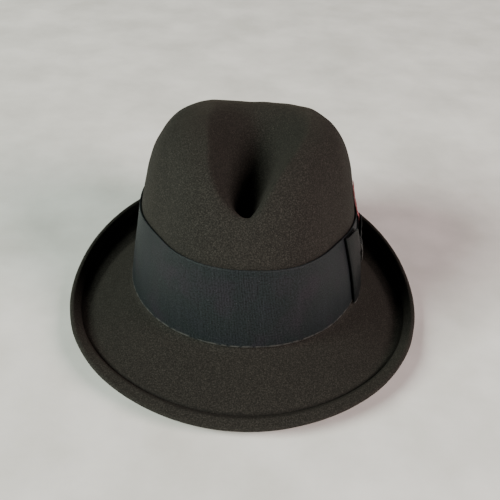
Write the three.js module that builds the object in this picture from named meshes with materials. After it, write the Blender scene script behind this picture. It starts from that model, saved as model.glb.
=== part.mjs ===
import * as THREE from 'three';

// A felt fedora as it rests by itself on a table, crown up. The front is at -Y and the wearer's left,
// where the bow and the feather sit, is at +X. Millimetres, +Z up, and the origin is on the table under
// the middle of the brim. The shape is worked out in the hat's own frame first: there z = 0 is the
// break, the oval where crown and brim meet, and angles are counted from the front towards +X.

// Felt body: the crown's inside at the break, the felt, and the height of the crown before its crease
const headWidth = 162;
const headLength = 200;
const feltThickness = 2;
const crownHeight = 124;
const breakFillet = 4;

// How the crown draws in from the break to its tip. power is the squareness of the oval at the break
// and at the tip, shoulder the power of the curve from wall to tip, taper the share of the width that
// the wall loses on the way, and tipDrop how far the front of the tip lies below its middle. Down to
// flatFall below its middle, the tip is as good as flat
const breakPower = 2.05;
const tipPower = 2.3;
const tipDrop = 6;
const flatFall = 0.25;
const draw = {
  front: { shoulder: 3.0, taper: 0.12 },
  side: { shoulder: 4.8, taper: 0.145 },
  back: { shoulder: 2.8, taper: 0.08 },
};

// The crease along the tip, a teardrop with its point in front. along is the place as a share of the
// half length, positive to the front. depth is a share of creaseDepth. right, left and lean are the
// widths from the crease's middle to its ridges on the wearer's right and left and the sideways offset
// of the middle, as shares of the crown's half width
const creaseDepth = 40;
const creaseFloor = 0.32;
const creaseFlank = 1.8;
const crease = [
  { along: -1.0, depth: 0.0, right: 0.3, left: 0.3, lean: 0.0 },
  { along: -0.7, depth: 0.0, right: 0.36, left: 0.44, lean: -0.02 },
  { along: -0.5, depth: 0.08, right: 0.38, left: 0.5, lean: -0.01 },
  { along: -0.3, depth: 0.26, right: 0.4, left: 0.5, lean: 0.02 },
  { along: -0.1, depth: 0.49, right: 0.42, left: 0.46, lean: 0.05 },
  { along: 0.15, depth: 0.8, right: 0.44, left: 0.42, lean: 0.05 },
  { along: 0.38, depth: 1.0, right: 0.4, left: 0.38, lean: 0.02 },
  { along: 0.5, depth: 1.0, right: 0.34, left: 0.34, lean: -0.015 },
  { along: 0.63, depth: 0.7, right: 0.28, left: 0.28, lean: -0.035 },
  { along: 0.73, depth: 0.28, right: 0.23, left: 0.23, lean: -0.035 },
  { along: 0.82, depth: 0.0, right: 0.19, left: 0.19, lean: -0.03 },
  { along: 1.0, depth: 0.0, right: 0.19, left: 0.19, lean: 0.0 },
];

// The two hollows pinched into the front corners of the crown. level runs from the break to the tip
const pinchDepth = 6.5;
const pinchAngle = 52;
const pinchSpread = 21;
const pinch = [
  { level: 0.0, share: 0.0 },
  { level: 0.2, share: 0.2 },
  { level: 0.48, share: 0.75 },
  { level: 0.72, share: 1.0 },
  { level: 0.9, share: 0.55 },
  { level: 1.0, share: 0.0 },
];

// The brim, snapped down in front and rolled up at the sides and back, by the angle from the front.
// width is a share of brimWidth, measured along the felt. root and edge are its slopes in degrees at
// the crown and at the edge, and roll is the share of the width where one starts to turn to the other
const brimWidth = 57;
const brimRollEnd = 0.88;
const brim = [
  { angle: 0, width: 1.0, root: -20, edge: -31, roll: 0.6 },
  { angle: 35, width: 0.965, root: -21, edge: -7, roll: 0.66 },
  { angle: 55, width: 0.95, root: -25.5, edge: 23, roll: 0.67 },
  { angle: 72, width: 0.95, root: -30, edge: 42, roll: 0.68 },
  { angle: 90, width: 0.93, root: -30, edge: 55, roll: 0.59 },
  { angle: 105, width: 0.91, root: -30, edge: 62, roll: 0.46 },
  { angle: 140, width: 0.87, root: -27, edge: 68, roll: 0.22 },
  { angle: 180, width: 0.84, root: -14, edge: 74, roll: 0.09 },
];

// The welt, where the edge of the brim is folded over onto its top, and the round of that fold
const weltWidth = 9.5;
const weltThickness = 1.4;
const weltRound = 0.9;

// The felt is flattened by this much where it rests
const restPress = 1.3;

// The clearance between pieces that touch
const seatGap = 0.3;

// Ribbon round the foot of the crown
const ribbonWidth = 55.5;
const ribbonThickness = 1;
const ribbonLift = 3;

// Bow on the ribbon: a strip folded into a loop to each side and drawn in under the knot. bowAngle is
// where the knot sits, from the front, and bowLean is how far the bow's top lies ahead of its foot.
// The front loop is taller than the ribbon by bowFrontExcess, the rear one shorter by bowRearShortage
const bowAngle = 84;
const bowDrop = 1.5;
const bowWaist = 16;
const bowFrontLength = 33;
const bowFrontExcess = 0.5;
const bowFrontFullness = 4.6;
const bowRearLength = 19;
const bowRearShortage = 9.5;
const bowRearFullness = 3.8;
const bowLean = 12;
const stripThickness = 1;

// The way of the strip along one loop, from the knot's side out on the ribbon, round its fold and back
// in front. reach is a share of the length from the knot's side to the fold, height runs from the waist
// to the loop's height, and fullness from the layer's place under the knot to the loop's full stand-off
const bowLoop = [
  { reach: 0.0, height: 0.0, front: false, fullness: 0.0 },
  { reach: 0.12, height: 0.5, front: false, fullness: 0.0 },
  { reach: 0.27, height: 0.96, front: false, fullness: 0.0 },
  { reach: 0.62, height: 1.0, front: false, fullness: 0.0 },
  { reach: 0.93, height: 1.0, front: false, fullness: 0.06 },
  { reach: 0.99, height: 1.0, front: false, fullness: 0.22 },
  { reach: 1.0, height: 1.0, front: false, fullness: 0.4 },
  { reach: 0.985, height: 1.0, front: false, fullness: 0.58 },
  { reach: 0.91, height: 1.0, front: true, fullness: 0.45 },
  { reach: 0.62, height: 1.0, front: true, fullness: 0.9 },
  { reach: 0.27, height: 0.96, front: true, fullness: 1.0 },
  { reach: 0.12, height: 0.5, front: true, fullness: 0.6 },
  { reach: 0.0, height: 0.0, front: true, fullness: 0.0 },
];

// Knot: a short strap over the waist of the bow
const knotWidth = 10;
const knotThickness = 1.2;
const knotRound = 2.5;

// Feather: a small hackle tucked into the rear loop. Its foot is featherFoot above the break and
// featherPlace behind the knot, its tip lies featherLean further forward, and it bends from the bow
// onto the crown within featherBend above the ribbon
const featherLength = 61;
const featherWidth = 12;
const featherThickness = 0.6;
const featherFoot = 23;
const featherPlace = 12;
const featherLean = 10;
const featherBend = 12;
const featherLocks = 9;

// Fineness of the facets
const spokes = 68;
const frontCrowding = 0.42;
const tipRings = 17;
const tipSpread = 0.88;
const filletRings = 2;
const brimRings = 8;
const ribbonRows = 4;
const stripRows = 4;
const profileSteps = 60;

const { lerp: mix, degToRad: radians, radToDeg: degrees, smoothstep: smooth } = THREE.MathUtils;
const halfWidth = headWidth / 2 + feltThickness;
const halfLength = headLength / 2 + feltThickness;
const flatLevel = 1 - flatFall / crownHeight;
const signedPower = (x, power) => Math.sign(x) * Math.abs(x) ** power;

// A smooth value of one column of a table, between the rows whose keys lie round the place
function fromTable(table, key, column, place) {
  const last = table.length - 1;
  if (place <= table[0][key]) return table[0][column];
  if (place >= table[last][key]) return table[last][column];
  let row = 0;
  while (table[row + 1][key] < place) row += 1;
  const rate = (i) => (table[i + 1][column] - table[i][column]) / (table[i + 1][key] - table[i][key]);
  const slope = (i) => {
    if (i === 0 || i === last || rate(i - 1) * rate(i) <= 0) return 0;
    return (2 * rate(i - 1) * rate(i)) / (rate(i - 1) + rate(i));
  };
  const span = table[row + 1][key] - table[row][key];
  const t = (place - table[row][key]) / span;
  const bend = t * (1 - t) * span * ((1 - t) * (slope(row) - rate(row)) - t * (slope(row + 1) - rate(row)));
  return mix(table[row][column], table[row + 1][column], t) + bend;
}

// The crown as blocked, before it is creased: level runs from 0 at the break to 1 at the tip, and on
// the flat of the tip the oval shrinks evenly to its middle
function blockedCrown(angle, level) {
  const rim = Math.min(level, flatLevel);
  const shrink = Math.sqrt((1 - level) / (1 - rim));
  const drawn = ({ shoulder, taper }) => (1 - rim ** shoulder) ** (1 / shoulder) * (1 - taper * rim) * shrink;
  const power = mix(breakPower, tipPower, level);
  const end = Math.cos(angle) > 0 ? draw.front : draw.back;
  const x = halfWidth * drawn(draw.side) * signedPower(Math.sin(angle), 2 / power);
  const y = -halfLength * drawn(end) * signedPower(Math.cos(angle), 2 / power);
  const z = level * (crownHeight + (tipDrop * y) / halfLength);
  return new THREE.Vector3(x, y, z);
}

// The outside of the crown, with its two pinches and its crease
function crownPoint(angle, level) {
  const p = blockedCrown(angle, level);
  const away = (Math.abs(degrees(angle)) - pinchAngle) / pinchSpread;
  const inward = pinchDepth * Math.exp(-away * away) * fromTable(pinch, 'level', 'share', level);
  const across = Math.max(Math.hypot(p.x, p.y), inward);
  if (across > 0) {
    p.x *= 1 - inward / across;
    p.y *= 1 - inward / across;
  }
  const along = -p.y / halfLength;
  const middle = halfWidth * fromTable(crease, 'along', 'lean', along);
  const half = halfWidth * fromTable(crease, 'along', p.x < middle ? 'right' : 'left', along);
  const side = Math.hypot((p.x - middle) / half, creaseFloor);
  const flank = (Math.max(0, 1 - side) / (1 - creaseFloor)) ** creaseFlank;
  p.z -= creaseDepth * fromTable(crease, 'along', 'depth', along) * flank;
  return p;
}

// A point off the outside of the crown's wall by an offset along its normal
function wallPoint(angle, level, offset) {
  const step = 0.002;
  const around = crownPoint(angle + step, level).sub(crownPoint(angle - step, level));
  const up = crownPoint(angle, level + step).sub(crownPoint(angle, Math.max(0, level - step)));
  return crownPoint(angle, level).addScaledVector(around.cross(up).normalize(), offset);
}

// The level direction straight away from the crown at the break
function outward(angle) {
  const step = 0.001;
  const along = blockedCrown(angle + step, 0).sub(blockedCrown(angle - step, 0));
  return new THREE.Vector3(along.y, -along.x, 0).normalize();
}

// The line of the brim's top at one angle, as distances from the break and heights above it
function brimProfile(angle) {
  const turned = Math.abs(degrees(angle));
  const column = (name) => fromTable(brim, 'angle', name, turned);
  const width = brimWidth * column('width') - weltRound;
  const line = [new THREE.Vector2(0, 0)];
  for (let i = 0; i < profileSteps; i += 1) {
    const turn = smooth((i + 0.5) / profileSteps, column('roll'), brimRollEnd);
    const slope = radians(mix(column('root'), column('edge'), turn));
    const step = new THREE.Vector2(Math.cos(slope), Math.sin(slope)).multiplyScalar(width / profileSteps);
    line.push(line[i].clone().add(step));
  }
  return { angle, width, line };
}

function brimPoint(profile, distance) {
  const place = (distance / profile.width) * profileSteps;
  const i = Math.min(Math.floor(place), profileSteps - 1);
  const { x: reach, y: rise } = profile.line[i].clone().lerp(profile.line[i + 1], place - i);
  const p = crownPoint(profile.angle, 0).addScaledVector(outward(profile.angle), reach);
  return p.setZ(p.z + rise);
}

// The bend from the crown to the brim, which leaves each of them along its own slope
function filletPoint(profile, t) {
  const above = crownPoint(profile.angle, breakFillet / crownHeight);
  const corner = crownPoint(profile.angle, 0);
  return new THREE.QuadraticBezierCurve3(above, corner, brimPoint(profile, breakFillet)).getPoint(t);
}

// The two facets between four corners, parted along the diagonal from a to c, or from b to d where
// that one is clearly shorter
const diagonalBias = 0.97;
function fourSided(points, a, b, c, d) {
  const turned = points[b].distanceTo(points[d]) < diagonalBias * points[a].distanceTo(points[c]);
  return turned ? [a, b, d, b, c, d] : [a, b, c, a, c, d];
}

// A closed body over rings of points, with a point at each end to close it, its faces turned outwards
function closedSkin(rings, firstEnd, lastEnd) {
  const count = rings[0].length;
  const points = [...rings.flat(), firstEnd, lastEnd];
  const first = points.length - 2;
  const lastRing = (rings.length - 1) * count;
  const index = [];
  for (let i = 0; i < count; i += 1) {
    const j = (i + 1) % count;
    for (let ring = 0; ring < lastRing; ring += count) {
      index.push(...fourSided(points, ring + i, ring + count + i, ring + count + j, ring + j));
    }
    index.push(first, i, j, first + 1, lastRing + j, lastRing + i);
  }
  return turnedOut(points, index);
}

// A closed body over rings of points that form one loop, so that the last ring meets the first
function loopedSkin(rings) {
  const count = rings[0].length;
  const points = rings.flat();
  const index = [];
  for (let ring = 0; ring < rings.length; ring += 1) {
    const here = ring * count;
    const next = ((ring + 1) % rings.length) * count;
    for (let i = 0; i < count; i += 1) {
      const j = (i + 1) % count;
      index.push(...fourSided(points, here + i, next + i, next + j, here + j));
    }
  }
  return turnedOut(points, index);
}

function turnedOut(points, index) {
  let volume = 0;
  for (let i = 0; i < index.length; i += 3) {
    const [a, b, c] = [points[index[i]], points[index[i + 1]], points[index[i + 2]]];
    volume += a.dot(b.clone().cross(c));
  }
  if (volume < 0) index.reverse();
  const geometry = new THREE.BufferGeometry().setFromPoints(points);
  geometry.setIndex(index);
  return geometry;
}

const middleOf = (points) => points.reduce((sum, p) => sum.add(p), new THREE.Vector3()).divideScalar(points.length);

// The levels of the rings round the crown, from the tip down to the break. On the wall they are the
// levels of the ribbon's own rows, so that felt and ribbon have facets side by side
const ribbonFoot = ribbonLift / crownHeight;
const ribbonTop = (ribbonLift + ribbonWidth) / crownHeight;
const ribbonLevels = [];
for (let i = 0; i <= ribbonRows; i += 1) ribbonLevels.push(mix(ribbonFoot, ribbonTop, i / ribbonRows));
const ringPower = 3.5;
const wallTop = ribbonTop + 0.12;
const tipEdge = (1 - wallTop ** ringPower) ** (1 / ringPower);
const flatReach = (1 - flatLevel ** ringPower) ** (1 / ringPower);
const crownLevels = [];
for (let i = 1; i <= tipRings; i += 1) {
  const reach = tipEdge * (i / tipRings) ** tipSpread;
  const onFlat = 1 - (1 - flatLevel) * (reach / flatReach) ** 2;
  crownLevels.push(reach < flatReach ? onFlat : (1 - reach ** ringPower) ** (1 / ringPower));
}
crownLevels.push(...ribbonLevels.slice(1).reverse(), breakFillet / crownHeight);

// The angles of the spokes, closer together in front where the crease comes to its point
const spokeAngles = [];
for (let i = 0; i < spokes; i += 1) {
  const turn = (2 * Math.PI * i) / spokes - Math.PI;
  spokeAngles.push(turn - frontCrowding * Math.sin(turn));
}

// The top of the felt along one spoke, from the tip to the edge of the brim, as points on the sheet
// with how far the felt stands above it there: nothing on the brim, and the folded edge on the welt
const weltRows = [
  { share: 0.0, lift: 0.85 },
  { share: 0.1, lift: 1.0 },
  { share: 0.72, lift: 1.0 },
  { share: 1.0, lift: 0.62 },
];
function sheetLine(angle) {
  const profile = brimProfile(angle);
  const line = crownLevels.map((level) => crownPoint(angle, level));
  for (let i = 1; i <= filletRings; i += 1) line.push(filletPoint(profile, i / (filletRings + 1)));
  const weltStart = profile.width + weltRound - weltWidth;
  for (let i = 0; i < brimRings; i += 1) {
    line.push(brimPoint(profile, mix(breakFillet, weltStart - seatGap, i / (brimRings - 1))));
  }
  for (const { share } of weltRows) line.push(brimPoint(profile, mix(weltStart, profile.width, share)));
  return line;
}

// The whole felt body: the sheet's top, the round edge, and the underside one thickness below
function feltRings() {
  const lines = spokeAngles.map(sheetLine);
  const sheet = lines[0].map((_, row) => lines.map((line) => line[row]));
  const tip = crownPoint(0, 1);
  const surface = closedSkin(sheet, tip, tip.clone().setZ(-crownHeight));
  surface.computeVertexNormals();
  const normals = surface.getAttribute('normal');
  const normal = (row, i) => new THREE.Vector3().fromBufferAttribute(normals, row * spokes + i);
  const offset = (row, by) => sheet[row].map((p, i) => p.clone().addScaledVector(normal(row, i), by));
  const edge = sheet.length - 1;
  const weltFirst = sheet.length - weltRows.length;
  const top = sheet.map((ring, row) => (
    row < weltFirst ? ring : offset(row, weltThickness * weltRows[row - weltFirst].lift)));
  const fold = sheet[edge].map((p, i) => {
    const out = p.clone().sub(sheet[edge - 1][i]).setLength(weltRound);
    return p.clone().add(out).addScaledVector(normal(edge, i), (weltThickness - feltThickness) / 2);
  });
  const under = sheet.map((_, row) => row).filter((row) => row !== weltFirst && row !== weltFirst + 1);
  const below = under.reverse().map((row) => offset(row, -feltThickness));
  return { tip, top, fold, below, tipBelow: tip.clone().setZ(tip.z - feltThickness) };
}

// How the hat settles on a table: it leans back until its front edge and the underside of its back
// touch together, and it is moved so that the middle of its box is over the origin
function settle(points) {
  const lowest = (lean, side) => {
    const heights = points.filter((p) => p.y * side > 0).map((p) => p.z * Math.cos(lean) - p.y * Math.sin(lean));
    return Math.min(...heights);
  };
  let low = radians(-30);
  let high = radians(30);
  for (let i = 0; i < 50; i += 1) {
    const lean = (low + high) / 2;
    if (lowest(lean, -1) < lowest(lean, 1)) low = lean;
    else high = lean;
  }
  const turn = new THREE.Matrix4().makeRotationX(-low);
  const box = new THREE.Box3().setFromPoints(points.map((p) => p.clone().applyMatrix4(turn)));
  const middle = box.getCenter(new THREE.Vector3());
  return { lean: low, shift: new THREE.Vector3(-middle.x, -middle.y, -box.min.z - restPress) };
}

const felt = feltRings();
const rest = settle([...felt.top, felt.fold, ...felt.below].flat());
const hat = new THREE.Group();
hat.rotation.x = -rest.lean;
hat.position.copy(rest.shift);
hat.updateMatrixWorld(true);

function addPiece(name, geometry, color, roughness) {
  const piece = new THREE.Mesh(geometry, new THREE.MeshStandardMaterial({ color, roughness, metalness: 0 }));
  piece.name = name;
  hat.add(piece);
}

// Felt that would lie below the table is flattened onto it, at its full thickness
function flatten(points, lowest) {
  for (const p of points) {
    hat.localToWorld(p);
    p.z = Math.max(p.z, lowest);
    hat.worldToLocal(p);
  }
}
flatten(felt.top.flat(), feltThickness);
flatten(felt.below.flat(), 0);
addPiece('felt_body', closedSkin([...felt.top, felt.fold, ...felt.below], felt.tip, felt.tipBelow), 0x2f2c27, 0.95);

// The ribbon's inner and outer faces follow the felt's own spokes
const ribbonRing = (level, offset) => spokeAngles.map((angle) => wallPoint(angle, level, offset));
const ribbonInside = seatGap;
const ribbonOutside = seatGap + ribbonThickness;
addPiece('ribbon_band', loopedSkin([
  ...ribbonLevels.map((level) => ribbonRing(level, ribbonInside)),
  ...ribbonLevels.map((level) => ribbonRing(level, ribbonOutside)).reverse(),
]), 0x2e3235, 0.7);

// A place on the ribbon's outside: distance is measured round it from the knot towards the back,
// height from the break, and offset away from it
const wallMiddle = (ribbonFoot + ribbonTop) / 2;
const angleSteps = 40;
function angleAt(distance) {
  let angle = radians(bowAngle);
  const sign = Math.sign(distance);
  for (let i = 0; i < angleSteps; i += 1) {
    const step = 0.001;
    const pace = crownPoint(angle + step, wallMiddle).distanceTo(crownPoint(angle, wallMiddle)) / step;
    angle += (sign * Math.abs(distance)) / angleSteps / pace;
  }
  return angle;
}
const bowFrontHeight = ribbonWidth + bowFrontExcess;
const bowRearHeight = ribbonWidth - bowRearShortage;
const bowMiddle = ribbonLift + ribbonWidth / 2 - bowDrop;
const bowSlant = (height) => (-bowLean * (height - bowMiddle)) / bowFrontHeight;
function ribbonPoint(distance, height, offset) {
  return wallPoint(angleAt(distance), height / crownHeight, ribbonOutside + offset);
}

// A strip of ribbon along a path of stations: each has its distance, offset and half height, and the
// strip's thickness lies across the path
function strip(stations, thickness) {
  const rings = stations.map((station, i) => {
    const before = stations[Math.max(0, i - 1)];
    const after = stations[Math.min(stations.length - 1, i + 1)];
    const path = new THREE.Vector2(after.distance - before.distance, after.offset - before.offset).normalize();
    const ring = [];
    for (const face of [1, -1]) {
      for (let row = 0; row <= stripRows; row += 1) {
        const height = bowMiddle + station.half * face * (1 - (2 * row) / stripRows);
        const distance = station.distance - (face * path.y * thickness) / 2;
        const offset = station.offset + (face * path.x * thickness) / 2;
        ring.push(ribbonPoint(distance + bowSlant(height), height, offset));
      }
    }
    return ring;
  });
  return closedSkin(rings, middleOf(rings[0]), middleOf(rings[rings.length - 1]));
}

// One loop of the bow, out along the ribbon, round its fold and back over itself to the knot
const backLayer = seatGap + stripThickness / 2;
const frontLayer = backLayer + stripThickness + seatGap;
const frontOfLoops = frontLayer + stripThickness / 2;
function bowLoopStations(length, tall, standOff, side) {
  const start = knotWidth / 2 + stripThickness + seatGap;
  const stations = bowLoop.map(({ reach, height, front, fullness }) => ({
    distance: side * mix(start, length, reach),
    offset: mix(front ? frontLayer : backLayer, standOff - stripThickness / 2, fullness),
    half: mix(bowWaist, tall, height) / 2,
  }));
  const underKnot = { distance: (side * seatGap) / 2, half: bowWaist / 2 };
  return [{ ...underKnot, offset: backLayer }, ...stations, { ...underKnot, offset: frontLayer }];
}
const frontLoop = bowLoopStations(bowFrontLength, bowFrontHeight, bowFrontFullness, -1);
const rearLoop = bowLoopStations(bowRearLength, bowRearHeight, bowRearFullness, 1);
addPiece('bow_front_loop', strip(frontLoop, stripThickness), 0x26282a, 0.7);
addPiece('bow_rear_loop', strip(rearLoop, stripThickness), 0x26282a, 0.7);

// The knot is a strap that comes off the ribbon above the waist, runs down over it and goes back below
function knot() {
  const inner = frontOfLoops + seatGap + knotThickness / 2;
  const half = bowWaist / 2 + seatGap + (knotThickness + knotRound) / 2;
  const line = [
    { height: half, offset: seatGap },
    { height: half, offset: inner - knotRound / 2 },
    { height: half - knotRound / 2, offset: inner },
    { height: 0, offset: inner + knotRound / 4 },
    { height: knotRound / 2 - half, offset: inner },
    { height: -half, offset: inner - knotRound / 2 },
    { height: -half, offset: seatGap },
  ];
  const rings = line.map((station, i) => {
    const before = line[Math.max(0, i - 1)];
    const after = line[Math.min(line.length - 1, i + 1)];
    const path = new THREE.Vector2(after.height - before.height, after.offset - before.offset).normalize();
    const ring = [];
    for (const face of [1, -1]) {
      for (let row = 0; row <= 2; row += 1) {
        const distance = (knotWidth / 2) * face * (row - 1);
        const height = station.height + (face * path.y * knotThickness) / 2;
        const offset = station.offset - (face * path.x * knotThickness) / 2;
        ring.push(ribbonPoint(distance + bowSlant(bowMiddle + height), bowMiddle + height, offset));
      }
    }
    return ring;
  });
  return closedSkin(rings, middleOf(rings[0]), middleOf(rings[rings.length - 1]));
}
addPiece('bow_knot', knot(), 0x242628, 0.7);

// The feather's vane is cut into locks along both margins, round a thicker shaft
const vane = [
  { rise: 0.0, half: 0.12 },
  { rise: 0.3, half: 0.22 },
  { rise: 0.48, half: 0.4 },
  { rise: 0.6, half: 0.85 },
  { rise: 0.76, half: 1.0 },
  { rise: 0.92, half: 0.7 },
  { rise: 1.0, half: 0.12 },
];
function feather() {
  const rings = [];
  const loopTop = bowMiddle + bowRearHeight / 2;
  const ribbonEdge = ribbonLift + ribbonWidth;
  const inLoop = backLayer + stripThickness / 2 + seatGap + featherThickness / 2;
  const overRibbon = seatGap + featherThickness / 2;
  const onCrown = overRibbon - ribbonOutside;
  const stations = featherLocks * 2;
  for (let i = 0; i <= stations; i += 1) {
    const rise = i / stations;
    const notch = i % 2 === 1 ? 0.86 : 1;
    const half = (featherWidth / 2) * fromTable(vane, 'rise', 'half', rise) * notch;
    const height = featherFoot + featherLength * rise;
    const place = featherPlace - featherLean * rise;
    const offset = mix(inLoop, overRibbon, smooth(height, loopTop, ribbonEdge))
      + mix(0, onCrown - overRibbon, smooth(height, ribbonEdge, ribbonEdge + featherBend));
    const shaft = featherThickness / 2;
    rings.push([
      ribbonPoint(place - half, height, offset),
      ribbonPoint(place, height, offset + shaft),
      ribbonPoint(place + half, height, offset),
      ribbonPoint(place, height, offset - shaft),
    ]);
  }
  return closedSkin(rings, middleOf(rings[0]), middleOf(rings[rings.length - 1]));
}
addPiece('feather', feather(), 0x9c2a2c, 0.85);

export default hat;
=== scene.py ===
import math

import bpy
import numpy as np
from mathutils import Matrix, Vector, noise


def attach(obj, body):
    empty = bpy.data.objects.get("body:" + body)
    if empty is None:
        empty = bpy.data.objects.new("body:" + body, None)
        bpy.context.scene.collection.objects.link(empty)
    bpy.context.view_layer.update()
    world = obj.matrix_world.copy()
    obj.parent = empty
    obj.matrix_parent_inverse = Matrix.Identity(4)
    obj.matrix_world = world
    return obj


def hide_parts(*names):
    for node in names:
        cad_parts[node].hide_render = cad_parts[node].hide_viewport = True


# A felt fedora at rest on a pale floor. Shapes are worked out in millimetres in the hat's own frame,
# where z = 0 is the break, the oval where crown and brim meet. The front is at -y, and angles are
# counted from the front towards the wearer's left, +x. on_table() then lays a shape down at rest.
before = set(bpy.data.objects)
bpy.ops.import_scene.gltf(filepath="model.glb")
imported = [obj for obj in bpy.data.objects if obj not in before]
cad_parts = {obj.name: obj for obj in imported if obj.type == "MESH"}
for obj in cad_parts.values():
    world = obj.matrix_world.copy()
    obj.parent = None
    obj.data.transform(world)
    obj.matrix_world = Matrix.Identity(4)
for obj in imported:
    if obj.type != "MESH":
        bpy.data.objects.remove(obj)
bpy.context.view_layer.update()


def table(columns, *rows):
    return dict(zip(columns.split(), np.array(rows, float).T))


# Felt body
head_width = 162
head_length = 200
felt_thickness = 2.0
crown_height = 124
break_fillet = 4
half_width = head_width / 2 + felt_thickness
half_length = head_length / 2 + felt_thickness

# The crown as blocked: its squareness, and how its wall draws in towards the tip
break_power = 2.05
tip_power = 2.3
tip_drop = 6
flat_level = 1 - 0.25 / crown_height
draw = {
    "front": {"shoulder": 3.0, "taper": 0.12},
    "side": {"shoulder": 4.8, "taper": 0.145},
    "back": {"shoulder": 2.8, "taper": 0.08},
}

# The crease along the tip, from the back (-1) to the front (1), and the two pinches in front. Places,
# half widths and lean are shares of the crown's half length or half width, left and right are as seen
# from the front, and the lean shifts the crease's middle to the right
crease_depth = 42
crease_floor = 0.2
crease_flank = 1.45
crease = table(
    "along depth left right lean",
    (-1.0, 0.0, 0.3, 0.3, 0.0),
    (-0.7, 0.0, 0.36, 0.44, -0.02),
    (-0.5, 0.08, 0.38, 0.5, -0.01),
    (-0.3, 0.26, 0.4, 0.5, 0.02),
    (-0.1, 0.49, 0.42, 0.46, 0.05),
    (0.15, 0.8, 0.44, 0.42, 0.05),
    (0.38, 1.0, 0.38, 0.36, 0.02),
    (0.51, 1.0, 0.34, 0.3, -0.005),
    (0.63, 0.77, 0.29, 0.215, -0.01),
    (0.72, 0.31, 0.23, 0.15, -0.005),
    (0.8, 0.0, 0.19, 0.12, 0.0),
    (1.0, 0.0, 0.15, 0.15, 0.0),
)
pinch_depth = 6.5
pinch_angle = 52
pinch_spread = 21
pinch = table("level share", (0.0, 0.0), (0.2, 0.2), (0.48, 0.75), (0.72, 1.0), (0.9, 0.55), (1.0, 0.0))

# The brim, by the angle from the front: its width as a share, its slopes in degrees at the crown and
# at the edge, and the share of its width where the roll starts
brim_width = 57
brim_roll_end = 0.88
brim = table(
    "angle width root edge roll",
    (0, 1.0, -20, -31, 0.6),
    (35, 0.965, -21, -7, 0.66),
    (55, 0.95, -25.5, 23, 0.67),
    (72, 0.95, -30, 42, 0.68),
    (90, 0.93, -30, 55, 0.59),
    (105, 0.91, -30, 62, 0.46),
    (140, 0.87, -27, 68, 0.22),
    (180, 0.84, -14, 74, 0.09),
)
welt_width = 9.5
welt_thickness = 1.4
welt_round = 0.9

# How the hat rests: it leans back a little, and its felt is pressed flat on the floor
rest_lean = -4.935
rest_shift = (0.0, 8.923, 17.864)

# Ribbon, bow and feather
seat_gap = 0.3
ribbon_width = 55.5
ribbon_thickness = 1.0
ribbon_lift = 3.0
bow_angle = 84
bow_drop = 1.5
bow_waist = 16
bow_front_length = 33
bow_front_height = ribbon_width + 2.2
bow_front_fullness = 3.3
bow_rear_length = 19
bow_rear_height = ribbon_width - 9.5
bow_rear_fullness = 3.8
bow_lean = 12
strip_thickness = 1.0
bow_loop = table(
    "reach height front fullness",
    (0.0, 0.0, 0, 0.0),
    (0.12, 0.5, 0, 0.0),
    (0.27, 0.96, 0, 0.0),
    (0.62, 1.0, 0, 0.0),
    (0.93, 1.0, 0, 0.06),
    (0.99, 1.0, 0, 0.22),
    (1.0, 1.0, 0, 0.4),
    (0.985, 1.0, 0, 0.58),
    (0.91, 1.0, 1, 0.45),
    (0.62, 1.0, 1, 0.9),
    (0.27, 0.96, 1, 1.0),
    (0.12, 0.5, 1, 0.6),
    (0.0, 0.0, 1, 0.0),
)
knot_width = 10
knot_thickness = 1.2
knot_round = 2.5
feather_length = 61
feather_width = 12
feather_thickness = 0.6
feather_foot = 23
feather_place = 12
feather_lean = 10
feather_bend = 12
vane = table(
    "rise half",
    (0.0, 0.12),
    (0.3, 0.22),
    (0.48, 0.4),
    (0.6, 0.85),
    (0.76, 1.0),
    (0.92, 0.7),
    (1.0, 0.12),
)


def mix(a, b, t):
    return a + (b - a) * t


def smooth(x, low, high):
    t = np.clip((x - low) / (high - low), 0, 1)
    return t * t * (3 - 2 * t)


def from_table(rows, key, column, place):
    """A smooth value of one column between the rows whose keys lie round the place."""
    keys, values = rows[key], rows[column]
    rates = np.diff(values) / np.diff(keys)
    before, after = rates[:-1], rates[1:]
    rising = before * after > 0
    slopes = np.zeros(len(keys))
    slopes[1:-1][rising] = 2 * before[rising] * after[rising] / (before + after)[rising]
    place = np.clip(place, keys[0], keys[-1])
    row = np.clip(np.searchsorted(keys, place, side="right") - 1, 0, len(keys) - 2)
    span = keys[row + 1] - keys[row]
    t = (place - keys[row]) / span
    bend = (1 - t) * (slopes[row] - rates[row]) - t * (slopes[row + 1] - rates[row])
    return mix(values[row], values[row + 1], t) + t * (1 - t) * span * bend


def unit(vectors):
    return vectors / np.maximum(np.linalg.norm(vectors, axis=-1, keepdims=True), 1e-9)


def signed_power(x, power):
    return np.sign(x) * np.abs(x) ** power


def blocked_crown(angle, level):
    """The crown before it is creased: level runs from 0 at the break to 1 at the tip."""
    angle, level = np.broadcast_arrays(angle, level)
    rim = np.minimum(level, flat_level)
    shrink = np.sqrt((1 - level) / (1 - rim))

    def drawn(side):
        shoulder, taper = draw[side]["shoulder"], draw[side]["taper"]
        return (1 - rim**shoulder) ** (1 / shoulder) * (1 - taper * rim) * shrink

    power = mix(break_power, tip_power, level)
    end = np.where(np.cos(angle) > 0, drawn("front"), drawn("back"))
    x = half_width * drawn("side") * signed_power(np.sin(angle), 2 / power)
    y = -half_length * end * signed_power(np.cos(angle), 2 / power)
    return np.stack([x, y, level * (crown_height + tip_drop * y / half_length)], -1)


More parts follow.
